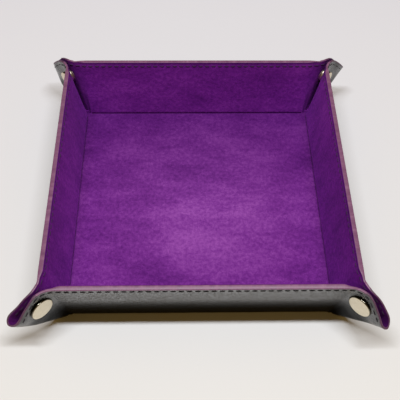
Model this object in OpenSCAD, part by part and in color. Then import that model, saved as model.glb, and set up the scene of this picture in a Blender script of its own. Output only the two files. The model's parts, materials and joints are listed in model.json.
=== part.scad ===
// Folding tray for dice: a flat square sheet of leather and velvet with stiff boards between them in its
// base and its four walls. The walls fold up, each soft corner is pinched into an ear of two flaps, and a
// press stud holds the flaps together.
// Origin: centre of the underside. +Z up, front wall towards -Y. Drawn folded up, with the studs shut.

/* [Tray] */
// Side of the whole sheet when it lies flat, edge to edge
flat_side = 254; // [250:1:258]
// Side of the base between opposite fold lines
base_side = 164; // [162:1:166]
// Angle of a folded wall above the table, in degrees
wall_angle = 79; // [78:0.5:80]
// Radius of the rounded corners of the flat sheet
corner_radius = 43; // [34:1:44]

/* [Layers] */
// Thickness of the outer leather sheet
leather = 0.8; // [0.7:0.1:0.9]
// Thickness of the stiff boards
board = 1.6; // [1.4:0.1:1.8]
// Thickness of the velvet lining
velvet = 0.6; // [0.5:0.1:0.7]
// Thickness of the painted coat on the rim
coat = 0.3; // [0.2:0.05:0.5]

/* [Ears] */
// Gap between the two velvet faces inside an ear
ear_gap = 3.2; // [3.2:0.1:3.6]
// Height up the wall at which an ear begins
ear_start = 3.2; // [3:0.1:6]

/* [Press studs] */
// Diameter of the caps
cap_d = 15; // [14:0.5:15]
// Distance of a stud's centre outside the fold lines, along X and along Y
stud_out = 9.3; // [9.3:0.1:10]
// Height of a stud's centre above the table
stud_z = 29.3; // [28:0.1:30]

/* [Stitching] */
// Distance of the stitch row from the rim
stitch_in = 3; // [2.5:0.1:4]
// Length from one needle hole to the next
stitch_pitch = 4.5; // [4:0.1:6]
// Diameter of the thread
thread_d = 0.7; // [0.5:0.05:0.8]

/* [Hidden] */
SIDES = ["front", "right", "back", "left"];
CORNERS = [[-1, -1], [1, -1], [1, 1], [-1, 1]];
WALLS = [0 : 3];
ENDS = [-1, 1];

function corner_name(c) = str(c[1] < 0 ? "front" : "back", "_", c[0] < 0 ? "left" : "right");

// A flap is named after the wall k that carries it, then after the wall it turns to: end -1 or 1 of wall k.
function flap_name(k, end) = str(SIDES[k], "_", SIDES[(k + end + 4) % 4]);

// The corner that end -1 or 1 of wall k comes to
function corner_of(k, end) = [[end, -1], [1, end], [-end, 1], [-1, -end]][k];

fold = base_side / 2;
wall_run = (flat_side - base_side) / 2;
panel = leather + board + velvet;
sheet = leather + velvet;
joint_gap = 0.15;

// The layers stop short of a fold line by what the fold closes at their height.
inner_setback = panel * tan(wall_angle / 2) + joint_gap;
leather_setback = leather * tan(wall_angle / 2) + joint_gap;

// Two walls that lean out meet along a line, which crosses each wall's plane at this angle from upright.
// An ear folds out along it, by flap_angle, and so both of its flaps lie along the corner's diagonal.
ear_lean = atan(cos(wall_angle));
flap_angle = acos(sin(wall_angle) / sqrt(2));

// The fold starts this far short of the corner, which leaves ear_gap between the flaps.
ear_fold_in = (ear_gap / 2 + sheet) / (sin(flap_angle) * cos(ear_lean));
board_half = fold - ear_fold_in;
ear_fold_slack = joint_gap / cos(ear_lean);

// The two flaps of an ear stop this far short of the diagonal of the flat corner.
leather_crease_gap = 0.3;
velvet_crease_gap = 0.7;

stitch_len = stitch_pitch - 0.9;
stitches = floor(2 * (board_half - 1) / stitch_pitch);
groove_w = thread_d + 0.3;
groove_h = thread_d / 2 + 0.05;

// Press stud, along its axis from the middle of the ear, which is 0; the cap's side is positive.
seat = ear_gap / 2;
outside = seat + sheet;
flange_r = 5.6;
bore_r = 2.6;
post_r = 1.35;
hole_r = 1.5;
cap_h = 1.6;

black_leather = [0.10, 0.10, 0.11];
purple_velvet = [0.40, 0.13, 0.52];
grey_board = [0.62, 0.58, 0.50];
mauve_paint = [0.60, 0.40, 0.52];
plum_thread = [0.22, 0.07, 0.26];
champagne_metal = [0.80, 0.75, 0.66];

// --- Places ---

// Puts a wall that lies flat towards -Y, with its fold line on the X axis, onto side k of the base.
module on_wall(k) {
    rotate([0, 0, 90 * k]) translate([0, -fold, 0]) rotate([-wall_angle, 0, 0]) children();
}

// Puts a flap that lies flat beside its wall, with the corner of the fold lines at 0, onto end -1 or 1 of
// wall k.
module on_flap(k, end) {
    on_wall(k) translate([end * board_half, 0, 0]) rotate([0, end * flap_angle, end * ear_lean])
        rotate([0, 0, -end * ear_lean]) translate([end * ear_fold_in, 0, 0]) children();
}

module mirror_if(wanted, axis) {
    if (wanted) {
        mirror(axis) children();
    } else {
        children();
    }
}

// Puts a stud's axis square to the corner's diagonal plane, with its cap towards the front or the back.
module on_snap(c) {
    mirror_if(c[0] > 0, [1, 0, 0]) mirror_if(c[1] > 0, [0, 1, 0])
        translate([-fold - stud_out, -fold - stud_out, stud_z]) rotate([90, 0, 45]) children();
}

// --- Base ---

module base_panel(half, low, high) {
    translate([-half, -half, low]) cube([2 * half, 2 * half, high - low]);
}

module base_leather() {
    color(black_leather) base_panel(fold - leather_setback, 0, leather);
}

module base_board() {
    color(grey_board) base_panel(fold - inner_setback, leather, leather + board);
}

module base_velvet() {
    color(purple_velvet) base_panel(fold - inner_setback, leather + board, panel);
}

// --- Walls, drawn flat ---

// How far from a wall's middle its ear folds lie, at height u up the wall
function ear_fold_at(u) = board_half + u * tan(ear_lean);

// The wall's soft sheet between its two ear folds, from height start to the rim
module wall_outline(start) {
    low = ear_fold_at(start) - ear_fold_slack;
    high = ear_fold_at(wall_run) - ear_fold_slack;
    polygon([[-low, -start], [low, -start], [high, coat - wall_run], [-high, coat - wall_run]]);
}

module wall_box(half, start, low, high) {
    run = wall_run - coat;
    translate([-half, -run, low]) cube([2 * half, run - start, high - low]);
}

// The shallow channel that the stitches sink into, around height z
module stitch_groove(z) {
    translate([-board_half, stitch_in - wall_run - groove_w / 2, z - groove_h])
        cube([2 * board_half, groove_w, 2 * groove_h]);
}

module wall_leather(k) {
    color(black_leather) on_wall(k) difference() {
        linear_extrude(leather) wall_outline(leather_setback);
        stitch_groove(0);
    }
}

module wall_board(k) {
    color(grey_board) on_wall(k) wall_box(board_half - velvet, inner_setback, leather, leather + board);
}

// The lining lies over the board, steps down its ends and goes on along the leather.
module wall_velvet(k) {
    color(purple_velvet) on_wall(k) difference() {
        intersection() {
            translate([0, 0, leather]) linear_extrude(panel) wall_outline(inner_setback);
            union() {
                wall_box(board_half, inner_setback, leather, panel);
                wall_box(fold + wall_run, inner_setback, leather, sheet);
            }
        }
        wall_box(board_half - velvet, 0, leather - board, leather + board);
        stitch_groove(panel);
    }
}

module wall_edge(k) {
    reach = ear_fold_at(wall_run) - ear_fold_slack;
    color(mauve_paint) on_wall(k) union() {
        translate([-board_half, -wall_run, 0]) cube([2 * board_half, coat, panel]);
        translate([-reach, -wall_run, 0]) cube([2 * reach, coat, sheet]);
    }
}

// One stitch after another along the rim, centred on height z
module stitch_row(z) {
    first = -stitch_pitch * (stitches - 1) / 2;
    for (i = [0 : stitches - 1]) {
        translate([first + i * stitch_pitch, stitch_in - wall_run, z]) rotate([0, 90, 0])
            cylinder(d = thread_d, h = stitch_len, center = true, $fn = 24);
    }
}

module wall_stitching(k) {
    color(plum_thread) on_wall(k) {
        stitch_row(0);
        stitch_row(panel);
    }
}

// --- Ear flaps, drawn flat: half of a rounded corner, cut along its diagonal ---

module corner_outline() {
    middle = wall_run - corner_radius;
    translate([middle, -middle]) circle(r = corner_radius, $fn = 96);
    translate([-fold, -wall_run]) square([fold + middle, wall_run]);
    translate([-fold, -middle]) square([fold + wall_run, middle]);
}

module flap_outline(crease_gap) {
    slack = ear_fold_slack - fold;
    diagonal = -crease_gap * sqrt(2);
    intersection() {
        corner_outline();
        polygon([
            [ear_fold_at(ear_start) + slack, -ear_start],
            [ear_fold_at(wall_run) + slack, -wall_run],
            [diagonal + wall_run, -wall_run],
            [diagonal + ear_start, -ear_start]
        ]);
    }
}

module flap_sheet(k, end, low, high, crease_gap) {
    difference() {
        on_flap(k, end) mirror_if(end < 0, [1, 0, 0]) translate([0, 0, low])
            linear_extrude(high - low) flap_outline(crease_gap);
        on_snap(corner_of(k, end)) cylinder(r = hole_r, h = 4 * outside, center = true, $fn = 48);
    }
}

module flap_leather(k, end) {
    color(black_leather) flap_sheet(k, end, 0, leather, leather_crease_gap);
}

module flap_velvet(k, end) {
    color(purple_velvet) flap_sheet(k, end, leather, sheet, velvet_crease_gap);
}

// --- Press stud, each part turned about Z ---

// The cap with its post, rolled over inside the socket
module snap_cap(c) {
    r = cap_d / 2;
    top = outside + cap_h;
    color(champagne_metal) on_snap(c) rotate_extrude($fn = 96) polygon([
        [0, 0.5], [2.1, 0.5], [2.2, 0.6], [2.2, 0.85], [post_r, 0.85], [post_r, outside],
        [r - 0.5, outside], [r, outside + 0.4], [r, outside + 0.8], [r - 0.4, top - 0.3],
        [r - 1.2, top], [0, top]
    ]);
}

// The socket under the cap, a cup that opens towards the stud
module snap_socket(c) {
    color(champagne_metal) on_snap(c) rotate_extrude($fn = 96) polygon([
        [hole_r, 0.95], [hole_r, seat], [flange_r, seat], [flange_r, seat - 0.4], [5, 0.7], [4.6, -0.4],
        [4.3, -0.6], [bore_r, -0.6], [bore_r, 0.95]
    ]);
}

// The stud that the socket closes over
module snap_stud(c) {
    color(champagne_metal) on_snap(c) rotate_extrude($fn = 96) polygon([
        [hole_r, -seat], [flange_r, -seat], [flange_r, 0.3 - seat], [5, 0.6 - seat], [2, 0.6 - seat],
        [2, -0.6], [2.3, -0.3], [2.3, 0], [2, 0.3], [hole_r, 0.3]
    ]);
}

// The rivet that holds the stud from the other flap's outside
module snap_rivet(c) {
    r = flange_r - 0.6;
    color(champagne_metal) on_snap(c) rotate_extrude($fn = 96) polygon([
        [0, 0.2], [post_r, 0.2], [post_r, -outside], [r - 0.2, -outside], [r, -outside - 0.4],
        [r - 0.6, -outside - 0.8], [0, -outside - 0.9]
    ]);
}

// --- Drawing ---

base_leather();
base_board();
base_velvet();
for (k = WALLS) {
    wall_leather(k);
    wall_board(k);
    wall_velvet(k);
    wall_edge(k);
    wall_stitching(k);
}
for (k = WALLS, end = ENDS) {
    flap_leather(k, end);
    flap_velvet(k, end);
}
for (c = CORNERS) {
    snap_cap(c);
    snap_socket(c);
    snap_stud(c);
    snap_rivet(c);
}
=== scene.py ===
"""Looks of the folding dice tray: leather and velvet bent over the folds, painted edges, stitches, studs.

Every piece is drawn from the flat sheet. A point of the sheet is (x, u, h) in mm: x along a wall from its
middle, u outwards from the base fold, h up from the leather's outer face. rest_place() puts it where it is
on the folded tray, and the UV map keeps the flat place, so that grain and nap run on over every seam.
"""

import json
import math

import bmesh
import bpy
import numpy as np
from mathutils import Matrix, Vector


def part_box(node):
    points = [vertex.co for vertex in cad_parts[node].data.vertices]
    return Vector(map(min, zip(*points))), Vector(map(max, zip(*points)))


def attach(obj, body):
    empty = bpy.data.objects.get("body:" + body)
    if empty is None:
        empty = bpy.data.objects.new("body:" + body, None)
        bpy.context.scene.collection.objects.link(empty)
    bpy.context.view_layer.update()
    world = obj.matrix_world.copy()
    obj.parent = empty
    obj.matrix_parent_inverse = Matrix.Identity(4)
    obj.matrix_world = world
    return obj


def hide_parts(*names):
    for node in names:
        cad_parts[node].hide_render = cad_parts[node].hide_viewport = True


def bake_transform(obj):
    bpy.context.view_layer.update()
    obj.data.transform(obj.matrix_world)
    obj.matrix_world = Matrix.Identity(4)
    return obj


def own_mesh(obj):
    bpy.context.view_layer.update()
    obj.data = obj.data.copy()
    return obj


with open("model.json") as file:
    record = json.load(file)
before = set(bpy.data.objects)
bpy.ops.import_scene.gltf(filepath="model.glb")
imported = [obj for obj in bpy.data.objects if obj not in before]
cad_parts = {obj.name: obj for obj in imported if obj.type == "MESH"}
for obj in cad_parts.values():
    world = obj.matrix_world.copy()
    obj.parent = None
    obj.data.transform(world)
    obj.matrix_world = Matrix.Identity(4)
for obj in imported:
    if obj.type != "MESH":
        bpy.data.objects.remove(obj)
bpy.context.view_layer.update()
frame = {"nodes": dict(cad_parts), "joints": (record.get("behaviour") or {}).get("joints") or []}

# ---------------------------------------------------------------- sizes, mm and radians
MM = 0.001
SIDES = ["front", "right", "back", "left"]
CORNERS = [(-1, -1), (1, -1), (1, 1), (-1, 1)]


def layer(node):
    """Thickness of one of the base's flat layers."""
    low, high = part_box(node)
    return round((high[2] - low[2]) / MM, 3)


wall_fold = next(joint for joint in frame["joints"] if joint["name"] == "front_wall_fold")
FOLD = round(-wall_fold["pos_m"][1] / MM, 3)       # from the tray's middle to a base fold
TH = math.radians(wall_fold["range_deg"][1])       # how far a wall is folded up
RUN, CORNER_R = 45.0, 50.0      # from a base fold to the rim, and the radius of the sheet's corners
LEATHER, BOARD, VELVET = (layer("base_" + part) for part in ("leather", "board", "velvet"))
PANEL, SHEET = LEATHER + BOARD + VELVET, LEATHER + VELVET
C, S = math.cos(TH), math.sin(TH)
LEAN = math.atan(C)
EAR = math.acos(S / math.sqrt(2))
CL, SL, CE, SE = math.cos(LEAN), math.sin(LEAN), math.cos(EAR), math.sin(EAR)
HALF_GAP = 1.6
Q_OUT = HALF_GAP + SHEET
FOLD_IN = Q_OUT / (SE * CL)
BOARD_END = FOLD - FOLD_IN
cap_low, cap_high = (np.array(corner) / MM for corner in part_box("snap_cap_front_left"))
STUD_OUT = round(-(cap_low + cap_high)[:2].mean() / 2 - FOLD, 1)      # past the base folds' lines
STUD_Z = round((cap_low + cap_high)[2] / 2, 1)
R2 = math.sqrt(2)
MID = RUN - CORNER_R

BASE_CUT = 5.0        # the base's own piece ends this far inside the fold line
BASE_BOARD = 79.5     # the base's velvet lies level this far out, to just past its board's edge
WALL_BOARD = 77.25    # and a wall's this far along, to just past its board's end
STRIP = 3.9           # width of the rounded crease at the bottom of an ear
WALL_CUT = -1.6       # a wall's own piece ends this far across the ear fold, at its foot


# ---------------------------------------------------------------- the sheet's place on the folded tray
def smooth(t):
    """An eased step from 0 to 1."""
    t = np.clip(t, 0, 1)
    return t * t * (3 - 2 * t)


def vec(x, y, z):
    """Points with these coordinates along the last axis."""
    return np.stack(np.broadcast_arrays(np.asarray(x, float), y, z), -1)


def bend_reach(l):
    """Half the width of an ear fold's bend: tight at the base, wide and soft at the rim."""
    return 0.3 + 1.8 * smooth(l / 16) + 1.1 * smooth((l - 20) / 24)


def wall_cut(l):
    """Where a fold piece starts on its wall, measured across the ear fold."""
    return WALL_CUT - 2.8 * smooth((l - 3) / 12)


def ear_cut(l):
    """Where it ends on its flap."""
    l = np.asarray(l, float)
    return np.where(l < 3.4, 0.3 + 0.9 * np.clip(l, 0, 3.4) / 3.4, 1.2 + 3.0 * smooth((l - 3.4) / 16))


def rim_u(x):
    """Height of the rim on the flat sheet, which falls away round the corners."""
    over = np.clip(np.abs(x) - FOLD - MID, 0, CORNER_R)
    return MID + np.sqrt(CORNER_R ** 2 - over ** 2)


def fold_line_x(u):
    """x of the ear fold at height u up the wall."""
    return BOARD_END + np.asarray(u, float) * SL / CL


def lining(x, u):
    """Height of the velvet's face: over the board, then down to the bare leather before the ear fold."""
    length = np.clip(0.95 * (fold_line_x(u) - WALL_BOARD), 0.5, 6.5)
    return SHEET + BOARD * smooth((WALL_BOARD + length - x) / length)


def across(x, u):
    """(p, l): distance across the ear fold line, and along it."""
    dx = x - BOARD_END
    return dx * CL - u * SL, dx * SL + u * CL


def from_across(p, l):
    """(x, u) of a point p across and l along the ear fold line."""
    return BOARD_END + p * CL + l * SL, l * CL - p * SL


def diagonal(x, u):
    """(s, d): distance along the corner's diagonal from the fold lines' corner, and away from it."""
    xo = x - FOLD
    return (xo + u) / R2, (u - xo) / R2


def from_diagonal(s, d):
    """(x, u) of a point s along and d away from the corner's diagonal."""
    return FOLD + (s - d) / R2, (s + d) / R2


SNAP_X, SNAP_U = 91.53, 30.49      # the stud's place on the flat sheet
SNAP_R = 7.0                       # the metal's reach round it


def half_gap(s, d, x, u, droop):
    """Half the gap between an ear's velvet faces: wider at the tip, pinched and puckered round the stud."""
    p = across(x, u)[0]
    free = smooth(p / 7)
    tip = 1.0 * smooth((s - 28) / 14) * (1 - smooth((d - 6) / 12))
    pinch = -0.9 * np.exp(-((s - 38) / 8) ** 2 - ((d - 26) / 8) ** 2)
    r = np.hypot(x - SNAP_X, u - SNAP_U)
    angle = np.arctan2(u - SNAP_U, x - SNAP_X)
    dimple = -0.3 * np.exp(-(np.maximum(r - SNAP_R, 0) / 2.2) ** 2)
    pucker = 0.24 * np.cos(5 * angle + droop) * np.exp(-((r - 11.5) / 3.0) ** 2)
    ripple = 0.22 * np.sin(s * 0.33 + droop) * smooth((s - 20) / 14) * (1 - smooth((d - 12) / 10))
    return HALF_GAP + free * (tip + pinch + dimple + pucker + ripple)


def ear_shape(x, u, h, droop=0.0):
    """Moves a flat ear's point out or in, and rounds the crease along the diagonal."""
    s, d = diagonal(x, u)
    p = across(x, u)[0]
    to_rim = CORNER_R - np.hypot(x - FOLD - MID, u - MID)
    h = SHEET / 2 + (h - SHEET / 2) * (1 - 0.32 * smooth(1 - to_rim / 3.5) * smooth((p - 4) / 6))
    reach = (half_gap(s, np.full_like(d, 3.0), *from_diagonal(s, 3.0), droop) + SHEET / 2) * math.pi / 2
    dd = np.maximum(d, reach)
    gap = half_gap(s, dd, *from_diagonal(s, dd), droop)
    middle = gap + SHEET / 2
    turn = np.clip((reach - d) / middle, 0, math.pi / 2)
    under = 1 - 0.85 * smooth((turn - 1.0) / 0.57)
    h = np.where(h < SHEET - 0.3, h * under, h)
    radius = gap + SHEET - h
    bent = d < reach
    d_new = np.where(bent, reach - radius * np.sin(turn) - 0.62 * (reach - middle) * smooth(turn / 1.57), d)
    h_new = np.where(bent, Q_OUT - radius * np.cos(turn), Q_OUT - radius)
    x_new, u_new = from_diagonal(s, d_new)
    return x_new, u_new, h_new


def corner_outline(x, u):
    """Makes a round corner a little fuller beside the wall and blunter at its tip."""
    xc, uc = x - FOLD - MID, u - MID
    r = np.hypot(xc, uc) + 1e-9
    turn = np.degrees(np.abs(np.arctan2(uc, xc) - math.pi / 4))
    out = 1.4 * np.exp(-((turn - 25) / 8) ** 2) - 2.2 * np.exp(-(turn / 13) ** 2)
    out = out * smooth((r - 25) / 22)
    return x + out * xc / r, u + out * uc / r


def wall_local(x, u, h, droop=0.0):
    """Flat sheet to a wall's own frame, with its ear folded out, for x >= 0."""
    x, u, h = (np.array(a, float) for a in np.broadcast_arrays(x, u, h))
    out = across(x, u)[0] > 0
    xs, us, hs = ear_shape(*corner_outline(x, u), h, droop)
    x, u, h = np.where(out, xs, x), np.where(out, us, u), np.where(out, hs, h)
    p, l = across(x, u)
    reach = bend_reach(l)
    bend_r = reach / math.tan(EAR / 2)
    turn = np.clip((p + reach) / (2 * reach), 0, 1) * EAR
    radius = bend_r + h
    in_arc = (p > -reach) & (p < reach)
    beyond = p >= reach
    P = np.where(beyond, p * CE + h * SE, np.where(in_arc, -reach + radius * np.sin(turn), p))
    H = np.where(beyond, -p * SE + h * CE, np.where(in_arc, -bend_r + radius * np.cos(turn), h))
    X, U = from_across(P, l)
    return X, U, H


def place(x, u, h):
    """A wall's own frame to the front wall's place; nothing sinks into the table."""
    return vec(x, -FOLD - u * C + h * S, np.maximum(u * S + h * C, 0.0))


def turned(points, k, end=1):
    """The front wall's right half to end -1 or 1 of wall k."""
    p = np.array(points, float)
    p[..., 0] *= end
    for _ in range(k):
        p = np.stack([-p[..., 1], p[..., 0], p[..., 2]], -1)
    return p


# how far each corner's ear bends to one side and upward by its tip, mm; the bend starts past its stud
TIP_FROM, TIP_LONG = 17.0, 15.0
TIP_BEND = {(-1, -1): (3.0, 1.0), (1, -1): (2.2, 1.0), (1, 1): (0.6, 0.0), (-1, 1): (5.0, 1.0)}


def corner_of(k, end):
    """Signs of x and y at the corner by this end of wall k."""
    return [(end, -1), (1, end), (-end, 1), (-1, -end)][k]


def rest_place(x, u, h, k, end, droop=0.0):
    """Flat sheet to the folded tray, each ear's tip bent a little to one side."""
    p = turned(place(*wall_local(x, u, h, droop)), k, end)
    cx, cy = corner_of(k, end)
    beyond = (p[..., 0] * cx + p[..., 1] * cy) / R2 - FOLD * R2
    aside, upward = TIP_BEND[cx, cy]
    share = np.clip((beyond - TIP_FROM) / TIP_LONG, 0, 1.3)[..., None] ** 2
    return p + share * np.array([aside * cy / R2, -aside * cx / R2, upward])


def flat_uv(x, u, k, end):
    """Place on the flat sheet, in metres, centre at 0.5."""
    p = turned(vec(x, -FOLD - np.asarray(u, float), 0), k, end)
    return p[..., :2] * MM + 0.5


# ---------------------------------------------------------------- meshes
SHARP = math.radians(50)


def mesh_object(name, verts, faces, uvs):
    """A smooth mesh from points in mm, with sharp edges where it turns by more than SHARP."""
    mesh = bpy.data.meshes.new(name)
    mesh.from_pydata((np.asarray(verts) * MM).tolist(), [], [list(map(int, f)) for f in faces])
    layer = mesh.uv_layers.new(name="flat")
    loop_vertex = np.zeros(len(mesh.loops), int)
    mesh.loops.foreach_get("vertex_index", loop_vertex)
    layer.data.foreach_set("uv", np.asarray(uvs)[loop_vertex].astype(np.float32).ravel())
    mesh.polygons.foreach_set("use_smooth", [True] * len(mesh.polygons))
    mesh.validate()
    bm = bmesh.new()
    bm.from_mesh(mesh)
    bmesh.ops.remove_doubles(bm, verts=bm.verts, dist=1e-6)
    bmesh.ops.recalc_face_normals(bm, faces=bm.faces)
    for e in bm.edges:
        if len(e.link_faces) == 2 and e.calc_face_angle(0) > SHARP:
            e.smooth = False
    bm.to_mesh(mesh)
    bm.free()
    obj = bpy.data.objects.new(name, mesh)
    bpy.context.scene.collection.objects.link(obj)
    return obj


def slab(name, top, bottom, uv):
    """A closed sheet between two grids of points with the same shape (rows, columns, 3)."""
    m, n = top.shape[:2]
    verts = np.concatenate([top.reshape(-1, 3), bottom.reshape(-1, 3)])
    uvs = np.concatenate([uv.reshape(-1, 2)] * 2)
    index = np.arange(m * n).reshape(m, n)
    faces = []
    for i in range(m - 1):
        for j in range(n - 1):
            a, b, c, d = index[i, j], index[i, j + 1], index[i + 1, j + 1], index[i + 1, j]
            faces.append((a, b, c, d))
            faces.append((d + m * n, c + m * n, b + m * n, a + m * n))
    border = list(index[0, :-1]) + list(index[:-1, -1]) + list(index[-1, :0:-1]) + list(index[:0:-1, 0])
    for a, b in zip(border, border[1:] + border[:1]):
        faces.append((a, a + m * n, b + m * n, b))
    return mesh_object(name, verts, faces, uvs)


def tube_grid(rings, uv):
    """A skin over rings of points, shape (rings, around, 3), with both ends closed."""
    m, n = rings.shape[:2]
    index = np.arange(m * n).reshape(m, n)
    faces = []
    for i in range(m - 1):
        for j in range(n):
            faces.append((index[i, j], index[i, (j + 1) % n], index[i + 1, (j + 1) % n], index[i + 1, j]))
    faces.append(tuple(index[0, ::-1]))
    faces.append(tuple(index[-1]))
    return rings.reshape(-1, 3), faces, uv.reshape(-1, 2)


def join_parts(name, parts):
    """One mesh from several skins of (points, faces, flat places)."""
    verts, faces, uvs, count = [], [], [], 0
    for v, f, t in parts:
        verts.append(v)
        uvs.append(t)
        faces += [[i + count for i in face] for face in f]
        count += len(v)
    return mesh_object(name, np.concatenate(verts), faces, np.concatenate(uvs))


# ---------------------------------------------------------------- materials
class Nodes:
    """A material's node tree, textured by the flat sheet's own coordinates."""

    def __init__(self, name):
        self.material = bpy.data.materials.new(name)
        self.material.use_nodes = True
        self.tree = self.material.node_tree
        self.bsdf = self.tree.nodes["Principled BSDF"]
        self.uv = self.add("ShaderNodeTexCoord").outputs["UV"]

    def add(self, kind, **values):
        node = self.tree.nodes.new(kind)
        for key, value in values.items():
            setattr(node, key, value)
        return node

    def link(self, a, b):
        self.tree.links.new(a, b)

    def scaled(self, x, y, angle=0.0):
        m = self.add("ShaderNodeMapping")
        m.inputs["Scale"].default_value = (x, y, 1)
        m.inputs["Rotation"].default_value = (0, 0, angle)
        self.link(self.uv, m.inputs["Vector"])
        return m.outputs["Vector"]

    def from_centre(self):
        """Distances from the flat sheet's two middle lines, and its y coordinate."""
        split = self.add("ShaderNodeSeparateXYZ")
        self.link(self.uv, split.inputs[0])
        x, y = split.outputs["X"], split.outputs["Y"]
        ax, ay = (self.math("ABSOLUTE", self.math("SUBTRACT", way, 0.5), 0) for way in (x, y))
        return ax, ay, y

    def noise(self, scale, detail=4.0, rough=0.6, distortion=0.0, vector=None):
        n = self.add("ShaderNodeTexNoise")
        n.inputs["Scale"].default_value = scale
        n.inputs["Detail"].default_value = detail
        n.inputs["Roughness"].default_value = rough
        n.inputs["Distortion"].default_value = distortion
        self.link(vector or self.uv, n.inputs["Vector"])
        return n.outputs["Fac"]

    def voronoi(self, scale, feature="DISTANCE_TO_EDGE", vector=None):
        n = self.add("ShaderNodeTexVoronoi", feature=feature)
        n.inputs["Scale"].default_value = scale
        self.link(vector or self.uv, n.inputs["Vector"])
        return n.outputs["Distance"]

    def ramp(self, value, stops):
        r = self.add("ShaderNodeValToRGB")
        e = r.color_ramp.elements
        while len(e) < len(stops):
            e.new(0.5)
        for item, (at, colour) in zip(e, stops):
            item.position = at
            item.color = (*colour, 1) if len(colour) == 3 else colour
        self.link(value, r.inputs["Fac"])
        return r.outputs["Color"]

    def map(self, value, a, b, c, d):
        m = self.add("ShaderNodeMapRange")
        for key, v in zip(("From Min", "From Max", "To Min", "To Max"), (a, b, c, d)):
            m.inputs[key].default_value = v
        self.link(value, m.inputs["Value"])
        return m.outputs["Result"]

    def math(self, op, a, b):
        m = self.add("ShaderNodeMath", operation=op)
        for socket, v in zip(m.inputs, (a, b)):
            if isinstance(v, (int, float)):
                socket.default_value = v
            else:
                self.link(v, socket)
        return m.outputs["Value"]

    def mix(self, factor, a, b, mode="MIX"):
        m = self.add("ShaderNodeMix", data_type="RGBA", blend_type=mode)
        for socket, v in ((m.inputs[0], factor), (m.inputs[6], a), (m.inputs[7], b)):
            if isinstance(v, (int, float)):
                socket.default_value = v
            elif isinstance(v, tuple):
                socket.default_value = (*v, 1)
            else:
                self.link(v, socket)
        return m.outputs[2]

    def bump(self, height, strength, distance, normal=None):
        b = self.add("ShaderNodeBump")
        b.inputs["Strength"].default_value = strength
        b.inputs["Distance"].default_value = distance
        self.link(height, b.inputs["Height"])
        if normal is not None:
            self.link(normal, b.inputs["Normal"])
        return b.outputs["Normal"]

    def set(self, **values):
        for key, v in values.items():
            socket = self.bsdf.inputs[key.replace("_", " ")]
            if isinstance(v, (int, float)):
                socket.default_value = v
            elif isinstance(v, tuple):
                socket.default_value = (*v, 1) if len(v) == 3 else v
            else:
                self.link(v, socket)
        return self.material


def velvet_material(name):
    """Short brushed pile: broad strokes of the nap, small clumps, fibres, duller far edges, and painted light
    and shade by place.
    """
    n = Nodes(name)
    blotch = n.noise(14, 4, 0.55, 0.5)
    brushed = n.noise(1, 6, 0.62, 0.4, n.scaled(34, 90, 0.9))
    clump = n.noise(420, 3, 0.62, 0.3)
    fibre = n.noise(1500, 2, 0.6)
    nap = n.math("ADD", n.math("MULTIPLY", blotch, 0.34), n.math("MULTIPLY", brushed, 0.30))
    nap = n.math("ADD", nap, n.math("MULTIPLY", clump, 0.36))
    base = n.ramp(nap, [(0.38, (0.125, 0.0130, 0.200)), (0.50, (0.205, 0.0270, 0.300)),
                        (0.63, (0.315, 0.0600, 0.415))])
    colour = n.mix(n.map(fibre, 0.32, 0.68, 0.0, 1.0), n.mix(1.0, base, (0.70, 0.66, 0.72), "MULTIPLY"), base)
    # painted light and shade by place on the sheet: a painted sheen makes the middle of the floor pale,
    # painted shade darkens it behind, painted light makes the walls fuller, the left and right walls more
    # than the front and back, and painted shade is deepest in the ears and along their creases
    ax, ay, y = n.from_centre()
    wall = n.map(n.math("MAXIMUM", ax, ay), 0.0800, 0.0832, 0.0, 1.0)
    ear = n.map(n.math("MINIMUM", ax, ay), 0.0800, 0.0960, 0.0, 1.0)
    reach = n.add("ShaderNodeVectorMath", operation="DISTANCE")
    n.link(n.uv, reach.inputs[0])
    reach.inputs[1].default_value = (0.5, 0.503, 0)
    painted_sheen = n.map(reach.outputs["Value"], 0.012, 0.080, 0.0, 1.0)
    tint = n.mix(painted_sheen, (1.22, 1.70, 1.18), (0.94, 0.98, 0.93))
    back = n.map(y, 0.495, 0.58, 0.0, 1.0)
    tint = n.mix(back, tint, n.mix(1.0, tint, (0.58, 0.42, 0.64), "MULTIPLY"))
    side = n.map(n.math("SUBTRACT", ax, ay), -0.002, 0.002, 0.0, 1.0)
    tint = n.mix(wall, tint, n.mix(side, (1.06, 0.68, 1.14), (1.24, 0.72, 1.44)))
    tint = n.mix(ear, tint, (0.62, 0.36, 0.60))
    crease = n.map(n.math("ABSOLUTE", n.math("SUBTRACT", ax, ay), 0), 0.003, 0.010, 1.0, 0.0)
    tint = n.mix(n.math("MULTIPLY", crease, ear), tint, (0.34, 0.16, 0.32))
    rim = n.map(n.math("MAXIMUM", ax, ay), 0.1252, 0.1264, 0.0, 1.0)
    tint = n.mix(rim, tint, n.mix(1.0, tint, (0.55, 0.55, 0.55), "MULTIPLY"))
    colour = n.mix(1.0, colour, tint, "MULTIPLY")
    height = n.math("ADD", n.math("MULTIPLY", clump, 0.6), n.math("MULTIPLY", fibre, 0.4))
    normal = n.bump(height, 0.45, 0.0007)
    normal = n.bump(blotch, 0.30, 0.004, normal)
    return n.set(Base_Color=colour, Roughness=0.9, Normal=normal, Sheen_Weight=0.06, Sheen_Roughness=0.5,
                 Sheen_Tint=(0.80, 0.45, 0.95), Specular_IOR_Level=0.06)


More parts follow.
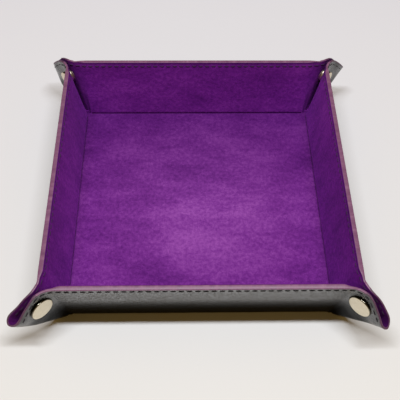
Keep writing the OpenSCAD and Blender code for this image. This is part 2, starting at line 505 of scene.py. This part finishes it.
def leather_material():
    """Black leather with fine pebbles, faint wrinkles and a satin top coat."""
    n = Nodes("black_leather")
    warped = n.noise(300, 3, 0.6)
    cells = n.voronoi(760)
    fine = n.noise(1700, 3, 0.65)
    wrinkle = n.noise(120, 5, 0.65, 0.4)
    grain = n.map(cells, 0.0, 0.32, 0.0, 1.0)
    height = n.math("ADD", n.math("MULTIPLY", grain, 0.65), n.math("MULTIPLY", fine, 0.2))
    height = n.math("ADD", height, n.math("MULTIPLY", warped, 0.45))
    normal = n.bump(height, 0.40, 0.00028)
    normal = n.bump(wrinkle, 0.24, 0.0011, normal)
    colour = n.ramp(n.math("MULTIPLY", grain, wrinkle),
                    [(0.1, (0.0012, 0.0012, 0.0013)), (0.7, (0.0040, 0.0040, 0.0043))])
    # the top coat fades out towards the base folds: painted shade, a dark lower band that stands for the
    # table's shadow reflected in the walls
    ax, ay = n.from_centre()[:2]
    painted_shade_coat = n.map(n.math("ADD", n.math("MAXIMUM", ax, ay), n.map(fine, 0.3, 0.7, -0.0025, 0.0025)),
                   0.0935, 0.1085, 0.0, 1.0)
    painted_shade_coat = n.math("MULTIPLY", painted_shade_coat, painted_shade_coat)
    return n.set(Base_Color=colour, Roughness=n.map(fine, 0.3, 0.7, 0.22, 0.36), Normal=normal,
                 Specular_IOR_Level=0.04, Coat_Weight=painted_shade_coat, Coat_IOR=1.76, Coat_Roughness=0.13,
                 Coat_Normal=normal)


def edge_material(name, depth):
    """Mauve edge paint, with uneven wear; `depth` scales its colour."""
    n = Nodes(name)
    wear = n.noise(220, 5, 0.65)
    fine = n.noise(1500, 3, 0.6)
    stops = [(0.35, (0.165, 0.062, 0.135)), (0.55, (0.225, 0.092, 0.178)), (0.7, (0.290, 0.135, 0.235))]
    colour = n.ramp(wear, [(at, tuple(c * depth for c in shade)) for at, shade in stops])
    normal = n.bump(fine, 0.25, 0.0002)
    normal = n.bump(wear, 0.25, 0.0008, normal)
    return n.set(Base_Color=colour, Roughness=n.map(wear, 0.3, 0.7, 0.36, 0.5), Normal=normal,
                 Specular_IOR_Level=0.5)


def thread_material(name, colour):
    """Twisted thread, with its plies across it."""
    n = Nodes(name)
    ply = n.noise(1, 2, 0.5, 0.0, n.scaled(2600, 2600, 0.7))
    shade = n.mix(n.map(ply, 0.35, 0.65, 0.0, 1.0), tuple(c * 0.6 for c in colour), colour)
    return n.set(Base_Color=shade, Roughness=0.62, Normal=n.bump(ply, 0.5, 0.0002),
                 Sheen_Weight=0.15, Specular_IOR_Level=0.35)


def metal_material(name="champagne_metal", shade=1.0, rough=(0.30, 0.46)):
    """Pale champagne plating, finely brushed and a little smudged."""
    n = Nodes(name)
    brush = n.noise(1, 3, 0.55, 0.0, n.scaled(260, 9000, 0.35))
    smudge = n.noise(420, 4, 0.6)
    colour = n.ramp(smudge, [(at, tuple(c * shade for c in tint))
                             for at, tint in ((0.3, (0.69, 0.615, 0.470)), (0.7, (0.78, 0.705, 0.555)))])
    return n.set(Base_Color=colour, Metallic=1.0, Roughness=n.map(brush, 0.3, 0.7, *rough),
                 Normal=n.bump(brush, 0.12, 0.00012), Anisotropic=0.35)


def board_material():
    """Grey bookbinder's board."""
    n = Nodes("grey_board")
    fibre = n.noise(900, 5, 0.7)
    colour = n.ramp(fibre, [(0.3, (0.30, 0.27, 0.22)), (0.7, (0.46, 0.42, 0.36))])
    return n.set(Base_Color=colour, Roughness=0.9, Normal=n.bump(fibre, 0.4, 0.0004))


def table_material():
    """A smooth white table, a little cooler behind the tray."""
    n = Nodes("white_table")
    soft = n.noise(3.0, 2, 0.5)
    colour = n.ramp(soft, [(0.3, (0.79, 0.775, 0.76)), (0.7, (0.81, 0.80, 0.79))])
    split = n.add("ShaderNodeSeparateXYZ")
    n.link(n.add("ShaderNodeTexCoord").outputs["Object"], split.inputs[0])
    colour = n.mix(n.map(split.outputs["Y"], -0.15, 0.25, 0.0, 1.0), colour,
                   n.mix(1.0, colour, (1.005, 1.02, 1.13), "MULTIPLY"))
    return n.set(Base_Color=colour, Roughness=0.48, Specular_IOR_Level=0.4)


VELVET_M, LEATHER_M = velvet_material("purple_velvet"), leather_material()
EDGE_M, EAR_EDGE_M = edge_material("mauve_edge_paint", 1.0), edge_material("plum_ear_edge_paint", 0.52)
THREAD_IN = thread_material("plum_thread", (0.050, 0.009, 0.075))
THREAD_OUT = thread_material("dark_thread", (0.022, 0.012, 0.026))
METAL_M, BOARD_M = metal_material(), board_material()
# the cap's polished side, darkened to about a quarter of the cap's colour as painted shade: the dark crescent
# of the gap between the cap and the leather
FLANK_M = metal_material("polished_flank_painted_shade", 0.26, (0.12, 0.2))


def finish_piece(obj, material, nodes=()):
    """Gives a piece its material, and hides the CAD nodes that it stands for."""
    obj.data.materials.append(material)
    if nodes:
        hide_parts(*nodes)
    return obj


def cut_sheet(obj):
    """Hands back a piece of leather or velvet unchanged."""
    return obj


# ---------------------------------------------------------------- base
def base_sheet(name, low, high):
    """The square middle of the base's sheet, inside the four base folds."""
    cut = FOLD - BASE_CUT
    line = np.linspace(-cut, cut, 33)
    X, Y = np.meshgrid(line, line)
    top, bottom = vec(X, Y, high), vec(X, Y, low)
    uv = np.stack([X * MM + 0.5, Y * MM + 0.5], -1)
    return slab(name, top, bottom, uv)


def corner_lobe(name, k, reach, low, high, drop):
    """The rounded corner of the base's sheet between two folds; it falls by `drop` past the board's end."""
    cut = FOLD - BASE_CUT
    f = np.linspace(0, 1, 15)
    A, B = np.meshgrid(f, f)
    far = reach - cut
    bulge = 1 - 0.10 * (A * B) ** 3
    X, Y = cut + far * A * bulge, -(cut + far * B * bulge)
    past = np.hypot(np.maximum(X - BASE_BOARD, 0), np.maximum(-Y - BASE_BOARD, 0))
    fall = drop * smooth(past / 2.0)
    top, bottom = turned(vec(X, Y, high - fall), k), turned(vec(X, Y, low - fall), k)
    return slab(name, top, bottom, turned(vec(X, Y, 0), k)[..., :2] * MM + 0.5)


for part, low, high, reach, drop, material in (
    ("leather", 0.0, LEATHER, 82.2, 0.0, LEATHER_M),
    ("velvet", PANEL - VELVET, PANEL, 81.6, BOARD - 0.1, VELVET_M),
):
    middle = finish_piece(base_sheet(f"base_{part}_sheet", low, high), material, [f"base_{part}"])
    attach(middle, "base")
    lobes = [corner_lobe(f"base_{part}_corner_{SIDES[k]}", k, reach, low, high, drop) for k in range(4)]
    for lobe in lobes:
        finish_piece(lobe, material)
        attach(lobe, "base")
    cut_sheet(middle)

# ---------------------------------------------------------------- walls with their base folds
FOLD_R = 1.6
FOLD_T = FOLD_R * math.tan(TH / 2)
LEVEL = 6.0        # a wall's rows run level up to this u, and from there they bend to follow the rim
COLUMNS = np.concatenate([np.linspace(-1, -0.94, 6), np.linspace(-0.92, 0.92, 31), np.linspace(0.94, 1, 6)])


def wall_end(u):
    """How far a wall's own piece reaches along x."""
    p = WALL_CUT
    for _ in range(12):
        l = (max(u, 0) + p * SL) / CL
        p = float(wall_cut(l))
    return float(from_across(p, l)[0])


def to_rim_u(x, u):
    """A row of the wall, bent down near its ends so that the last row is the rim."""
    return u - (RUN - rim_u(x)) * np.clip((u - LEVEL) / (RUN - LEVEL), 0, 1)


def leather_row(u, h):
    """(y, z) of the leather across the base fold: base side u < 0, wall side u > 0."""
    if u <= -FOLD_T:
        return -FOLD - u, h
    if u >= FOLD_T:
        return -FOLD - u * C + h * S, u * S + h * C
    a = (u + FOLD_T) / (2 * FOLD_T) * TH
    return -FOLD + FOLD_T - (FOLD_R - h) * math.sin(a), FOLD_R - (FOLD_R - h) * math.cos(a)


def fold_over_base(obj, k):
    """Bakes a piece's place into its mesh; its rows already follow the leather's rounded fold between the
    base and wall k.
    """
    start = turned(vec(0, -FOLD + FOLD_T, 0), k) * MM
    end = turned(vec(0, -FOLD - FOLD_T * C, FOLD_T * S), k) * MM
    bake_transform(obj)
    return obj


def wall_leather(k, webs):
    """Wall k's leather, from inside the base's edge round the rounded fold and up to the rim."""
    us = [-BASE_CUT, -3.5, -2.2, *np.linspace(-FOLD_T, FOLD_T, 11), 2.4, 4, *np.linspace(LEVEL, RUN, 16)]
    grids = []
    for h in (LEATHER, 0.0):
        rows = []
        for u in us:
            x = COLUMNS * (wall_end(u) if u > 0 else FOLD - BASE_CUT)
            y, z = leather_row(u, h)
            rows.append(turned(vec(x, y, z) if u < LEVEL else place(x, to_rim_u(x, u), h), k))
        grids.append(np.array(rows))
    uv = np.array([flat_uv(COLUMNS * (wall_end(u) if u > 0 else FOLD - BASE_CUT), u, k, 1) for u in us])
    obj = slab(f"wall_{SIDES[k]}_leather", grids[0], grids[1], uv)
    cut_sheet(obj)
    finish_piece(obj, LEATHER_M, [f"wall_leather_{SIDES[k]}"])
    return fold_over_base(obj, k)


WEB_FROM = 77.3      # a web starts here along x, just past the wall's own piece


def corner_web(k, end, part, low, high, material):
    """Closes the foot of the slit between two walls, beside the ear's root."""
    us = np.concatenate([[-2.2], np.linspace(-FOLD_T, FOLD_T, 13), [1.8, 2.4, 3.0, 3.6]])
    grids = []
    for h in (high, low):
        rows = []
        for u in us:
            x = WEB_FROM + (FOLD + max(u, 0) * C - 0.05 - WEB_FROM) * np.linspace(0, 1, 9)
            y, z = leather_row(u, h)
            rows.append(turned(vec(x, y, z), k, end))
        grids.append(np.array(rows))
    share = np.linspace(0, 1, 9)
    uv = np.array([flat_uv(WEB_FROM + (FOLD + u * C - WEB_FROM) * share, u, k, end) for u in us])
    side = "right" if end > 0 else "left"
    obj = finish_piece(slab(f"web_{SIDES[k]}_{side}_{part}", *grids, uv), material)
    return fold_over_base(obj, k)


CREASE = 0.42      # half the width of the velvet's crease over the base fold
BISECT = (math.cos((math.pi - TH) / 2), math.sin((math.pi - TH) / 2))


def crease_profile(level, count=7):
    """(c, h) points from the flat base to the fold's bisector: at height `level` once the wall lies flat."""
    bc, bh = BISECT
    points = []
    for delta in np.linspace(CREASE, 0, count):
        t = 0.5 * (1 - delta / CREASE)
        lag = 0.5 - t * t * (3 - 2 * t)
        rho = level
        for _ in range(30):
            eta = math.atan2(delta, rho)
            r = level / math.cos(min(eta + TH * lag, 1.45))
            rho = math.sqrt(max(r * r - delta * delta, 1e-6))
        c, h = rho * bc + delta * bh, rho * bh - delta * bc
        if delta == CREASE:
            c, h = (delta + level * bc) / bh, level
        points.append((c, h))
    return points


def wall_velvet(k, webs):
    """Wall k's velvet, from inside the base's edge through its creased fold and up to the rim."""
    top, low = crease_profile(PANEL), crease_profile(PANEL - VELVET)
    rows = []        # (x reach, top (y, z), bottom (y, z), flat u)
    for u in (-BASE_CUT, -4.0):
        rows.append((FOLD - BASE_CUT, (-FOLD - u, PANEL), (-FOLD - u, PANEL - VELVET), u))
    for (c, h), (c2, h2) in zip(top, low):
        rows.append((FOLD - BASE_CUT, (-FOLD + c, h), (-FOLD + c2, h2), -c))
    for (c, h), (c2, h2) in list(zip(top, low))[-2::-1]:
        rows.append((wall_end(c), (-FOLD - c * C + h * S, c * S + h * C),
                     (-FOLD - c2 * C + h2 * S, c2 * S + h2 * C), c))
    for u in (4.2, *np.linspace(LEVEL, RUN, 16)):
        rows.append((wall_end(u), None, None, u))
    grids = ([], [])
    uv = []
    for reach, a, b, u in rows:
        x = COLUMNS * reach
        uv.append(flat_uv(x, u, k, 1))
        if a is None:
            v = to_rim_u(x, u)
            h = lining(np.abs(x), v)
            grids[0].append(turned(place(x, v, h), k))
            grids[1].append(turned(place(x, v, h - VELVET), k))
        else:
            grids[0].append(turned(vec(x, *a), k))
            grids[1].append(turned(vec(x, *b), k))
    obj = slab(f"wall_{SIDES[k]}_velvet", np.array(grids[0]), np.array(grids[1]), np.array(uv))
    cut_sheet(obj)
    finish_piece(obj, VELVET_M, [f"wall_velvet_{SIDES[k]}"])
    bc, bh = BISECT
    start = turned(vec(0, -FOLD + PANEL * bc + CREASE * bh, PANEL * bh - CREASE * bc), k) * MM
    end = turned(vec(0, -FOLD + PANEL * bc - CREASE * bh, PANEL * bh + CREASE * bc), k) * MM
    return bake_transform(obj)


# cross-section of the painted edge: (out past the rim, share of the sheet's height, extra height)
EDGE_RING = [(-0.55, 0, -0.03), (-0.2, 0, -0.07), (0.04, 0, -0.04), (0.16, 0, 0.12), (0.22, 0.25, 0.05),
             (0.24, 0.5, 0), (0.22, 0.75, -0.05), (0.16, 1, -0.12), (0.04, 1, 0.04), (-0.2, 1, 0.07),
             (-0.55, 1, 0.03)]
EDGE_SHARE = 0.90      # the paint stops short of the velvet's face


def edge_rings(points, heights, locate, uv_at):
    """One ring of the painted edge at each (x, u, outward x, outward u) of the flat rim."""
    rings, uvs = [], []
    for (x, u, ox, ou), height in zip(points, heights):
        e = np.array([a for a, _, _ in EDGE_RING])
        h = np.array([f * height + o for _, f, o in EDGE_RING])
        rings.append(locate(x + e * ox, u + e * ou, h))
        uvs.append(uv_at(x + e * ox, u + e * ou + h * 0.3))
    return np.array(rings), np.array(uvs)


def rim_out(x):
    """Direction out of the flat sheet at the rim."""
    over = max(abs(x) - FOLD - MID, 0) / CORNER_R
    return math.copysign(over, x), math.sqrt(1 - over * over)


def wall_edge(k):
    """The paint on wall k's rim."""
    points = [(x, float(rim_u(x)), *rim_out(x)) for x in COLUMNS * wall_end(RUN)]
    heights = [EDGE_SHARE * float(lining(abs(point[0]), RUN)) for point in points]
    rings, uvs = edge_rings(points, heights, lambda x, u, h: turned(place(x, u, h), k),
                            lambda x, u: flat_uv(x, u, k, 1))
    obj = mesh_object(f"wall_{SIDES[k]}_edge", *tube_grid(rings, uvs))
    finish_piece(obj, EDGE_M, [f"wall_edge_{SIDES[k]}"])
    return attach(obj, "wall_" + SIDES[k])


# ---------------------------------------------------------------- stitches
PITCH, STITCH_IN, THREAD_R = 4.5, 2.7, 0.29


def rim_point(t, inset):
    """(x, u, direction x, direction u) at distance t from the wall's middle, `inset` inside the rim."""
    straight = FOLD + MID
    if t <= straight:
        return t, RUN - inset, 1.0, 0.0
    r = CORNER_R - inset
    a = (t - straight) / r
    return FOLD + MID + r * math.sin(a), MID + r * math.cos(a), math.cos(a), -math.sin(a)


def stitch_part(t, face, k, end, droop):
    """One stitch: a thread that comes out of a hole, lies on the face and dives in again."""
    along = np.linspace(-1, 1, 9)
    half = (PITCH - 0.75) / 2
    rings, uvs = [], []
    for a in along:
        dip = abs(a) ** 4
        radius = THREAD_R * (1 - 0.35 * dip)
        x0, u0, dx, du = rim_point(t + a * half, STITCH_IN)
        lift = 0.16 - 0.52 * dip
        ring = []
        for b in np.linspace(0, 2 * math.pi, 8, endpoint=False):
            side, up = radius * math.cos(b), radius * math.sin(b) * 0.85
            x, u = x0 - du * side, u0 + dx * side
            h0 = float(lining(x, u)) if face > 0 else 0.0
            ring.append((x, u, h0 + face * (lift + up)))
        ring = np.array(ring)
        rings.append(rest_place(ring[:, 0], ring[:, 1], ring[:, 2], k, end, droop))
        uvs.append(flat_uv(ring[:, 0] + ring[:, 2] * 0.3, ring[:, 1], k, end))
    return tube_grid(np.array(rings), np.array(uvs))


STITCH_FACES = ((1, "inner", THREAD_IN), (-1, "outer", THREAD_OUT))
WALL_STITCHES, FOLD_STITCHES, EAR_STITCHES = [], [], []
for number in range(27):
    at = (number + 0.5) * PITCH
    (p_a, l_a), (p_b, l_b) = (across(*rim_point(at + e, STITCH_IN)[:2]) for e in (-1.9, 1.9))
    if p_b < wall_cut(l_b) + 0.9:
        WALL_STITCHES.append(at)
    elif p_a < ear_cut(l_a) - 1.2:
        FOLD_STITCHES.append(at)
    elif diagonal(*rim_point(at + 1.9, STITCH_IN)[:2])[1] > 2.2:
        EAR_STITCHES.append(at)

# a phase for each ear's ripples and puckers
DROOPS = {"front_left": 0.4, "front_right": 2.1, "back_right": 3.7, "back_left": 5.2}


def corner_name(c):
    """Such as front_left, from the signs of x and y."""
    return ("front" if c[1] < 0 else "back") + "_" + ("left" if c[0] < 0 else "right")


def flap_name(k, end):
    """The wall that carries a half ear and the wall that it turns to."""
    return SIDES[k] + "_" + SIDES[(k + end) % 4]


for k in range(4):
    wall_leather(k, [corner_web(k, end, "leather", 0.06, LEATHER, LEATHER_M) for end in (-1, 1)])
    wall_velvet(k, [corner_web(k, end, "velvet", LEATHER, SHEET - 0.06, VELVET_M) for end in (-1, 1)])
    wall_edge(k)
    for face, label, material in STITCH_FACES:
        parts = [stitch_part(t, face, k, end, 0.0) for end in (-1, 1) for t in WALL_STITCHES]
        obj = finish_piece(join_parts(f"wall_{SIDES[k]}_stitches_{label}", parts), material,
                           [f"wall_stitching_{SIDES[k]}"] if face > 0 else [])
        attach(obj, "wall_" + SIDES[k])


# ---------------------------------------------------------------- ear folds, between each wall and its flap
def rim_l(p):
    """Distance along the ear fold at which a line p across it meets the rim."""
    lo, hi = 30.0, 60.0
    for _ in range(50):
        l = (lo + hi) / 2
        x, u = from_across(p, l)
        xo = float(x) - FOLD
        inside = u < (RUN if xo < MID else MID + math.sqrt(CORNER_R ** 2 - (xo - MID) ** 2))
        lo, hi = (l, hi) if inside else (lo, l)
    return lo


FOLD_LOW = 0.4


def fold_grid(level, count=26):
    """Points of the sheet across an ear fold; level(x, u) gives their height."""
    rows_x, rows_u = [], []
    shares = np.concatenate([np.linspace(0, 0.36, 6), np.linspace(0.40, 0.66, 9), np.linspace(0.70, 1, 7)])
    for i in range(count):
        g = (i / (count - 1)) ** 1.15
        row = []
        for f in shares:
            l = FOLD_LOW + (RUN - FOLD_LOW) * g
            for _ in range(6):
                p = float(wall_cut(l) + (ear_cut(l) - wall_cut(l)) * f)
                l = FOLD_LOW + (rim_l(p) - FOLD_LOW) * g
            row.append(from_across(p, l))
        rows_x.append([float(a) for a, _ in row])
        rows_u.append([float(b) for _, b in row])
    X, U = np.array(rows_x), np.array(rows_u)
    return X, U, level(X, U)


def fold_ends(k, end):
    """Points before and after the ear fold at this end of wall k, in metres."""
    reach = 2.8
    x, u = from_across(0.0, 20.0)
    origin = np.array([x, u, 0.0])
    before = origin + np.array([-CL * reach, SL * reach, 0])
    after = origin + np.array([CE * CL * reach, -CE * SL * reach, -SE * reach])
    a, b = (turned(place(*v), k, end) * MM for v in (before, after))
    return tuple(a), tuple(b)


def rim_s(d):
    """Distance along the diagonal at which a line d beside it meets the rim."""
    return MID * R2 + math.sqrt(CORNER_R ** 2 - d * d)


# an ear's lines run from its root to its rim, closer together at the rim
EAR_SHARES = np.concatenate([np.linspace(0, 0.9, 26, endpoint=False), np.linspace(0.9, 1, 7)])
EAR_LOW = 3.4
ROOT = -0.8


def ear_lines():
    """Lines of (s, d) points from an ear's root to its rim: first beside the fold, last along the crease."""
    l1 = rim_l(float(ear_cut(RUN)))
    ls = EAR_LOW + (l1 - EAR_LOW) * EAR_SHARES
    bs, bd = diagonal(*from_across(ear_cut(ls), ls))
    lines = []
    for f in np.linspace(0, 1, 22):
        s = (1 - f) * bs + f * (ROOT + (rim_s(STRIP) - ROOT) * EAR_SHARES)
        d = (1 - f) * bd + f * STRIP
        s = s + (rim_s(d[-1]) - s[-1]) * EAR_SHARES
        lines.append((s, d))
    for d in np.linspace(STRIP, 0, 13)[1:]:
        lines.append((ROOT + (rim_s(d) - ROOT) * EAR_SHARES, np.full_like(EAR_SHARES, d)))
    return lines


LINES = ear_lines()


def ear_grid(h, k, end, droop):
    """A half ear's points at height h of the sheet, and their flat places."""
    X, U = (np.array(a) for a in zip(*[from_diagonal(s, d) for s, d in LINES]))
    return rest_place(X, U, np.full_like(X, h), k, end, droop), flat_uv(X, U, k, end)


def squash_ear(obj, k, end):
    """Rides the flap, with a mesh of its own."""
    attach(obj, "flap_" + flap_name(k, end))
    x, u = from_across(10.0, 20.0)
    X, U, H = (float(a) for a in wall_flat_ear(x, u, LEATHER))
    X2, U2, H2 = (float(a) for a in wall_flat_ear(x, u, LEATHER + 1.0))
    a, b = turned(place(X, U, H), k, end), turned(place(X2, U2, H2), k, end)
    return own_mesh(obj)


def wall_flat_ear(x, u, h):
    """A flap's flat plane, without the softness of ear_shape."""
    p, l = across(x, u)
    return (*from_across(p * CE + h * SE, l), -p * SE + h * CE)


def leather_level(x, u):
    """Height of the leather's inner face."""
    return np.full_like(x, LEATHER)


def ear_fold(k, end):
    """The soft strip between wall k and its flap: leather, velvet, painted edge and stitches."""
    name = flap_name(k, end)
    start, stop = fold_ends(k, end)

    def bend(obj):
        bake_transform(obj)

    for part, level, thick, material in (("leather", leather_level, LEATHER, LEATHER_M),
                                         ("velvet", lining, VELVET, VELVET_M)):
        X, U, H = fold_grid(level)
        uv = flat_uv(X, U, k, end)
        top, bottom = rest_place(X, U, H, k, end), rest_place(X, U, H - thick, k, end)
        obj = finish_piece(slab(f"fold_{name}_{part}", top, bottom, uv), material)
        cut_sheet(obj)
        bend(obj)

    pts = []
    for p in np.linspace(float(wall_cut(RUN)), float(ear_cut(RUN)), 19):
        x, u = (float(a) for a in from_across(p, rim_l(p)))
        pts.append((x, u, *rim_out(x)))
    rings, uvs = edge_rings(pts, [EDGE_SHARE * float(lining(p[0], p[1])) for p in pts],
                            lambda x, u, h: rest_place(x, u, h, k, end), lambda x, u: flat_uv(x, u, k, end))
    bend(finish_piece(mesh_object(f"fold_{name}_edge", *tube_grid(rings, uvs)), EDGE_M))

    for face, label, material in STITCH_FACES:
        parts = [stitch_part(t, face, k, end, 0) for t in FOLD_STITCHES]
        bend(finish_piece(join_parts(f"fold_{name}_stitches_{label}", parts), material))


def half_ear(k, end):
    """One flap of an ear: leather, velvet, painted edge and stitches."""
    name = flap_name(k, end)
    droop = DROOPS[corner_name(corner_of(k, end))]
    outer, uv = ear_grid(0.0, k, end, droop)
    middle, _ = ear_grid(LEATHER, k, end, droop)
    inner, _ = ear_grid(SHEET, k, end, droop)
    for part, top, bottom, material in (("leather", middle, outer, LEATHER_M),
                                        ("velvet", inner, middle, VELVET_M)):
        obj = slab(f"ear_{name}_{part}", top, bottom, uv)
        finish_piece(obj, material, [f"flap_{part}_{name}"])
        cut_sheet(obj)
        squash_ear(obj, k, end)

    pts = []
    for _, ds in LINES:
        x, u = from_diagonal(rim_s(ds[-1]), ds[-1])
        pts.append((x, u, (x - FOLD - MID) / CORNER_R, (u - MID) / CORNER_R))
    rings, uvs = edge_rings(pts, [EDGE_SHARE * SHEET] * len(pts),
                            lambda x, u, h: rest_place(x, u, h, k, end, droop),
                            lambda x, u: flat_uv(x, u, k, end))
    obj = mesh_object(f"ear_{name}_edge", *tube_grid(rings, uvs))
    squash_ear(finish_piece(obj, EAR_EDGE_M), k, end)

    for face, label, material in STITCH_FACES:
        parts = [stitch_part(t, face, k, end, droop) for t in EAR_STITCHES]
        obj = join_parts(f"ear_{name}_stitches_{label}", parts)
        squash_ear(finish_piece(obj, material), k, end)


for k in range(4):
    for end in (-1, 1):
        ear_fold(k, end)
        half_ear(k, end)


# ---------------------------------------------------------------- press studs
def lathe(name, profile, corner, flank=None, segments=72):
    """A closed profile of (r, z) turned about the stud's axis; past `flank` (r, z) it is polished and
    darkened as painted shade.
    """
    place_it = Matrix.Rotation(math.radians(45), 4, "Z") @ Matrix.Rotation(math.radians(90), 4, "X")
    verts, faces, uvs = [], [], []
    n = len(profile)
    for i in range(segments):
        a = 2 * math.pi * i / segments
        for r, z in profile:
            p = place_it @ Vector((r * math.cos(a), r * math.sin(a), z))
            p += Vector((-FOLD - STUD_OUT, -FOLD - STUD_OUT, STUD_Z))
            verts.append((p.x * -corner[0], p.y * -corner[1], p.z))
            uvs.append((r * math.cos(a) * MM, r * math.sin(a) * MM + z * MM * 0.5))
    for i in range(segments):
        j = (i + 1) % segments
        for q in range(n if profile[0][0] > 0 else n - 1):
            b = (q + 1) % n
            faces.append((i * n + q, i * n + b, j * n + b, j * n + q))
    obj = mesh_object(name, verts, faces, uvs)
    obj.data.materials.append(METAL_M)
    if flank:
        obj.data.materials.append(FLANK_M)
        back = place_it.to_3x3().transposed()
        for face in obj.data.polygons:
            x, y, z = (c / MM for c in face.center)
            at = Vector((x * -corner[0] + FOLD + STUD_OUT, y * -corner[1] + FOLD + STUD_OUT, z - STUD_Z))
            at = back @ at
            if math.hypot(at.x, at.y) > flank[0] and at.z < flank[1]:
                face.material_index = 1
    return obj


def arc(cx, cz, r, a0, a1, count):
    """Points of a round stretch of a profile, between two angles in degrees."""
    return [(cx + r * math.cos(math.radians(a)), cz + r * math.sin(math.radians(a)))
            for a in np.linspace(a0, a1, count)]


CAP = ([(0.0, 0.5), (2.0, 0.5)] + arc(2.0, 0.67, 0.17, -90, 90, 5)
       + [(1.35, 0.85), (1.35, 3.0), (6.5, 2.7), (6.9, 2.76)]
       + arc(6.70, 3.36, 0.56, -60, 62, 12) + [(6.82, 3.92), (6.60, 3.99), (6.2, 4.02), (0.0, 4.06)])
SOCKET = ([(1.5, 0.95), (1.5, 1.6), (5.3, 1.6)] + arc(5.35, 1.38, 0.22, 90, -90, 6)
          + [(4.95, 0.9), (4.75, 0.4), (4.6, -0.3)] + arc(4.3, -0.32, 0.28, 0, -90, 4)
          + [(2.95, -0.6)] + arc(2.9, -0.3, 0.3, -90, -180, 4) + [(2.6, 0.95)])
STUD = ([(1.5, -1.6), (5.4, -1.6)] + arc(5.4, -1.42, 0.18, -90, 90, 5)
        + [(5.0, -1.1), (4.2, -1.0), (2.4, -1.0)] + arc(2.4, -0.7, 0.3, -90, -180, 3)[:2]
        + [(2.0, -0.6), (2.2, -0.35), (2.3, -0.1), (2.25, 0.12), (2.0, 0.3), (1.5, 0.3)])
RIVET = ([(0.0, 0.2), (1.35, 0.2), (1.35, -3.0), (4.0, -2.96)] + arc(4.02, -3.22, 0.26, 90, -60, 7)
         + [(3.7, -3.55), (2.2, -3.68), (0.0, -3.72)])
# the cap's side past this is polished, and darkened as painted shade
CAP_FLANK = (6.88, 3.9)      # radius and height past which the cap's side is polished

for corner in CORNERS:
    c = corner_name(corner)
    side_fb = "front" if corner[1] < 0 else "back"
    side_lr = "left" if corner[0] < 0 else "right"
    fb, lr = f"flap_{side_fb}_{side_lr}", f"flap_{side_lr}_{side_fb}"
    metal = (("cap", CAP, fb), ("socket", SOCKET, fb), ("stud", STUD, lr), ("rivet", RIVET, lr))
    for label, profile, body in metal:
        obj = lathe(f"stud_{label}_{c}", profile, corner, CAP_FLANK if label == "cap" else None)
        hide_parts(f"snap_{label}_{c}")
        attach(obj, body)

for node, obj in frame["nodes"].items():
    if "board" in node:
        obj.data.materials.clear()
        obj.data.materials.append(BOARD_M)

# ---------------------------------------------------------------- table, light, camera
floor_mesh = bpy.data.meshes.new("table_top")
TABLE_Z = -0.0001
floor_corners = [(-3, -3, TABLE_Z), (3, -3, TABLE_Z), (3, 5, TABLE_Z), (-3, 5, TABLE_Z)]
floor_mesh.from_pydata(floor_corners, [], [(0, 1, 2, 3)])
floor_mesh.uv_layers.new(name="flat")
floor = bpy.data.objects.new("table_top", floor_mesh)
bpy.context.scene.collection.objects.link(floor)
floor.data.materials.append(table_material())

world = bpy.data.worlds.new("room")
bpy.context.scene.world = world
world.use_nodes = True
# warm, weak light from the room, and a pale wall where the view runs past the table
room = world.node_tree
glow = room.nodes["Background"]
glow.inputs[0].default_value, glow.inputs[1].default_value = (1.0, 0.64, 0.20, 1), 0.18
wall = room.nodes.new("ShaderNodeBackground")
wall.inputs[0].default_value, wall.inputs[1].default_value = (0.78, 0.775, 0.78, 1), 1.0
seen, either = room.nodes.new("ShaderNodeLightPath"), room.nodes.new("ShaderNodeMixShader")
room.links.new(seen.outputs["Is Camera Ray"], either.inputs[0])
room.links.new(glow.outputs[0], either.inputs[1])
room.links.new(wall.outputs[0], either.inputs[2])
room.links.new(either.outputs[0], room.nodes["World Output"].inputs["Surface"])


def ceiling_tube(name, place_at, size, power, colour):
    """A long lamp along x, facing down."""
    data = bpy.data.lights.new(name, "AREA")
    data.shape, data.size, data.size_y, data.energy, data.color = "RECTANGLE", *size, power, colour
    obj = bpy.data.objects.new(name, data)
    bpy.context.scene.collection.objects.link(obj)
    obj.location = place_at


ceiling_tube("ceiling_tube", (0.0, -0.17, 1.5), (1.3, 0.09), 23.0, (0.95, 0.985, 1.02))

camera = bpy.data.objects.new("camera", bpy.data.cameras.new("camera"))
bpy.context.scene.collection.objects.link(camera)
# the camera's place is in sides of the tray's floor, from crease to crease
FLOOR_SIDE = round(2 * (FOLD - PANEL * BISECT[0] / BISECT[1]) * MM, 5)
camera.location = tuple(c * FLOOR_SIDE for c in (-0.0576, -1.7571, 2.4217))
camera.data.lens, camera.data.sensor_width = 63.81, 36
el, az, roll = (math.radians(a) for a in (53.7719, 2.0731, 1.4195))      # down, to the right, tilt
ahead = Vector((math.sin(az) * math.cos(el), math.cos(az) * math.cos(el), -math.sin(el)))
right = ahead.cross(Vector((0, 0, 1))).normalized()
above = right.cross(ahead)
right2 = math.cos(roll) * right + math.sin(roll) * above
above2 = -math.sin(roll) * right + math.cos(roll) * above
camera.rotation_mode = "QUATERNION"
camera.rotation_quaternion = Matrix((right2, above2, -ahead)).transposed().to_quaternion()
camera.data.clip_start, camera.data.clip_end = 0.01, 20
bpy.context.scene.camera = camera
bpy.context.scene.view_settings.view_transform = "Standard"
